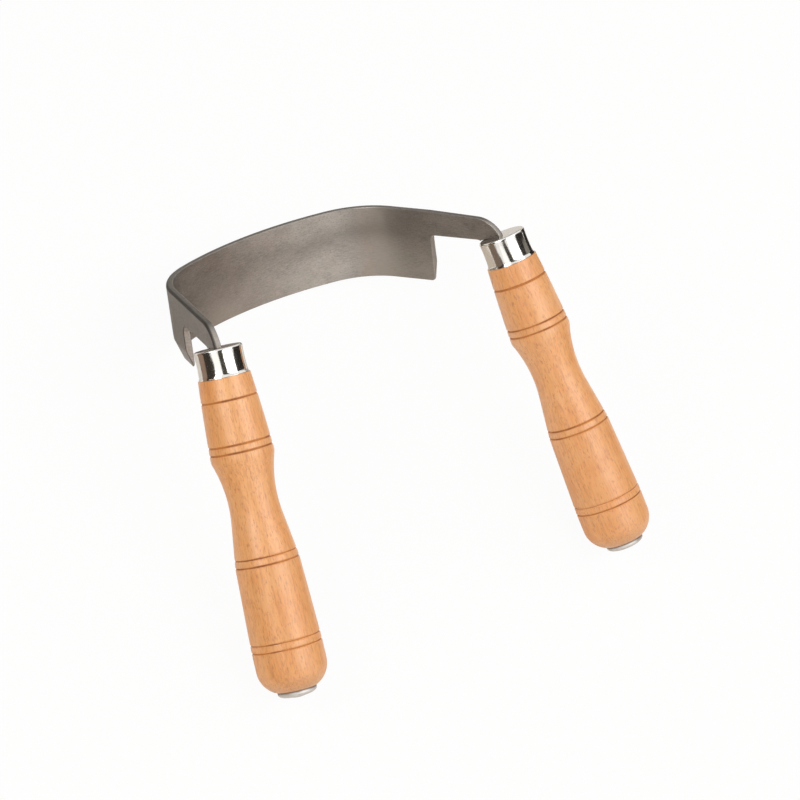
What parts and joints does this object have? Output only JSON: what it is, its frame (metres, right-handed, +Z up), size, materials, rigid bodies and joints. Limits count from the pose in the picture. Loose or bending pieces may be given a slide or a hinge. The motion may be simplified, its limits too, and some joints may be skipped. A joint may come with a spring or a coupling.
{
  "type": "barrel scraper",
  "caption": "Two-handled scraper with a bowed, single-bevel steel blade, notched tangs, bright ferrules and turned wooden grips, drawn along curved wood.",
  "frame": {"origin": "on the table, below the middle of the whole tool's box", "axes": "+X from the left handle to the right one, +Y from the butts to the blade, +Z up; the tool lies hollow side up on the middle of its cutting edge and on both butts"},
  "size_m": [0.202, 0.1879, 0.079],
  "materials": {
    "steel": "dull grey, finely brushed along the blade",
    "nickel": "polished, slightly warm plating",
    "wood": "clear-lacquered beech with burnt grooves"
  },
  "bodies": {
    "root": {"blade": "steel", "left_ferrule": "nickel", "right_ferrule": "nickel", "left_grip": "wood", "right_grip": "wood", "left_washer": "nickel", "right_washer": "nickel"}
  },
  "joints": []
}
